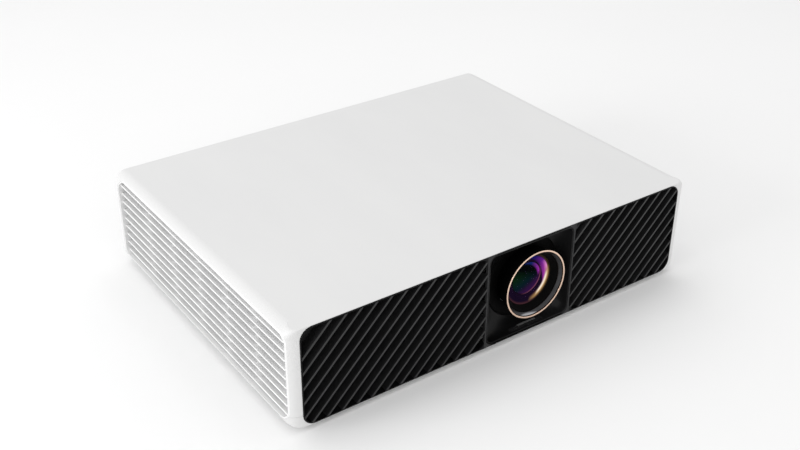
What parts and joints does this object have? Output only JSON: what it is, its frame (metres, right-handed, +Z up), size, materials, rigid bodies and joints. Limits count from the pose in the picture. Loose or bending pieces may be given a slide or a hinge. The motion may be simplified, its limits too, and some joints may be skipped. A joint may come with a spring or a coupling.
{
  "type": "home projector",
  "caption": "Low white home projector with rounded edges, louvred sides, black slatted speaker grilles and a deep round lens in a gloss bezel with a rose-gold ring.",
  "frame": {"origin": "on the table under the middle of the case, level with the undersides of the feet", "axes": "+X to the projector's left as it faces out (right in a front view), along the longest side; +Y from the front panel towards the rear sockets; +Z up"},
  "size_m": [0.38, 0.2806, 0.086],
  "materials": {
    "white_shell": "fine satin moulded plastic",
    "filter_foam": "open-cell foam",
    "black_satin": "satin moulded plastic",
    "mesh_metal": "black perforated sheet",
    "black_gloss": "piano black",
    "rose_gold": "anodised, turned and polished",
    "satin_grey": "satin anodised",
    "lens_glass": "coated optical glass",
    "cast_alloy": "die-cast, bare",
    "gear_plastic": "acetal",
    "brass": "machined",
    "zinc_steel": "zinc plated",
    "mirror_glass": "coated",
    "board_green": "solder-masked laminate",
    "ferrite": "sintered",
    "cone_paper": "coated paper cone with rubber surround",
    "foot_rubber": "matt"
  },
  "bodies": {
    "case": {"top_shell": "white_shell", "bottom_tray": "white_shell", "louvre_left": "white_shell", "louvre_right": "white_shell", "dust_filters": "filter_foam", "front_frame": "black_satin", "grille_left": "black_satin", "grille_right": "black_satin", "grille_mesh": "mesh_metal", "lens_bezel": "black_gloss", "lens_ring": "rose_gold", "hood_cone": "satin_grey", "lens_hood": "black_satin", "rear_element": "lens_glass", "lens_barrel": "cast_alloy", "focus_motor": "zinc_steel", "engine_housing": "cast_alloy", "imaging_prism": "lens_glass", "light_tunnel": "mirror_glass", "chip_board": "board_green", "chip_heat_sink": "cast_alloy", "wheel_motor": "zinc_steel", "laser_bank": "brass", "laser_heat_sink": "cast_alloy", "heat_pipes": "brass", "radiator_fins": "cast_alloy", "fan_frames": "black_satin", "speaker_baskets": "zinc_steel", "speaker_magnets": "ferrite", "main_board": "board_green", "board_chips": "black_satin", "power_board": "board_green", "power_parts": "black_satin", "hdmi_sockets": "zinc_steel", "usb_sockets": "zinc_steel", "lan_socket": "zinc_steel", "audio_socket": "black_satin", "power_inlet": "black_satin", "inlet_pins": "brass", "rear_panel": "black_satin", "button_switch": "black_satin", "remote_window": "black_gloss", "rear_feet": "foot_rubber", "mount_inserts": "brass", "case_screws": "zinc_steel"},
    "lens_stage": {"lens_carrier": "black_satin", "front_element": "lens_glass", "second_element": "lens_glass"},
    "focus_gear": {"focus_ring": "gear_plastic"},
    "focus_pinion": {"motor_pinion": "brass"},
    "left_fan": {"fan_rotor_left": "black_satin"},
    "right_fan": {"fan_rotor_right": "black_satin"},
    "colour_wheel": {"phosphor_wheel": "mirror_glass"},
    "button": {"power_button": "black_gloss"},
    "left_cone": {"speaker_cone_left": "cone_paper"},
    "right_cone": {"speaker_cone_right": "cone_paper"},
    "left_foot_stud": {"foot_stud_left": "zinc_steel"},
    "right_foot_stud": {"foot_stud_right": "zinc_steel"},
    "left_foot_pad": {"foot_pad_left": "foot_rubber"},
    "right_foot_pad": {"foot_pad_right": "foot_rubber"}
  },
  "joints": [
    {"name": "lens_focus_slide", "type": "slide", "parent": "case", "child": "lens_stage", "axis": [0, 1, 0], "range_m": [0, 0.004]},
    {"name": "focus_turn", "type": "hinge", "parent": "case", "child": "focus_gear", "pos_m": [0.0287, -0.109, 0.04415], "axis": [0, 1, 0], "range_deg": [0, 91]},
    {"name": "focus_pinion_turn", "type": "hinge", "parent": "case", "child": "focus_pinion", "pos_m": [-0.0073, -0.109, 0.04415], "axis": [0, 1, 0], "range_deg": [-454, 0]},
    {"name": "left_fan_spin", "type": "hinge", "parent": "case", "child": "left_fan", "pos_m": [-0.1725, -0.005, 0.0455], "axis": [1, 0, 0], "continuous": true},
    {"name": "right_fan_spin", "type": "hinge", "parent": "case", "child": "right_fan", "pos_m": [0.1725, 0.035, 0.0455], "axis": [1, 0, 0], "continuous": true},
    {"name": "colour_wheel_spin", "type": "hinge", "parent": "case", "child": "colour_wheel", "pos_m": [0.0766, -0.013, 0.04415], "axis": [1, 0, 0], "continuous": true},
    {"name": "power_button_press", "type": "slide", "parent": "case", "child": "button", "axis": [0, -1, 0], "range_m": [0, 0.001], "stiffness_N_per_m": 300},
    {"name": "left_cone_stroke", "type": "slide", "parent": "case", "child": "left_cone", "axis": [0, 1, 0], "range_m": [-0.0015, 0.0015], "stiffness_N_per_m": 1500},
    {"name": "right_cone_stroke", "type": "slide", "parent": "case", "child": "right_cone", "axis": [0, 1, 0], "range_m": [-0.0015, 0.0015], "stiffness_N_per_m": 1500},
    {"name": "left_foot_extend", "type": "slide", "parent": "case", "child": "left_foot_pad", "axis": [0, 0, -1], "range_m": [0, 0.01]},
    {"name": "right_foot_extend", "type": "slide", "parent": "case", "child": "right_foot_pad", "axis": [0, 0, -1], "range_m": [0, 0.01]},
    {"name": "left_foot_turn", "type": "hinge", "parent": "left_foot_pad", "child": "left_foot_stud", "pos_m": [-0.15, -0.112, 0.003], "axis": [0, 0, -1], "range_deg": [0, 2890]},
    {"name": "right_foot_turn", "type": "hinge", "parent": "right_foot_pad", "child": "right_foot_stud", "pos_m": [0.15, -0.112, 0.003], "axis": [0, 0, -1], "range_deg": [0, 2890]}
  ],
  "couplings": [
    {"joint": "focus_turn", "follows": "lens_focus_slide", "rad_per_m": 392.7},
    {"joint": "focus_pinion_turn", "follows": "lens_focus_slide", "rad_per_m": -1963.5},
    {"joint": "left_foot_turn", "follows": "left_foot_extend", "rad_per_m": 5026.5},
    {"joint": "right_foot_turn", "follows": "right_foot_extend", "rad_per_m": 5026.5}
  ]
}
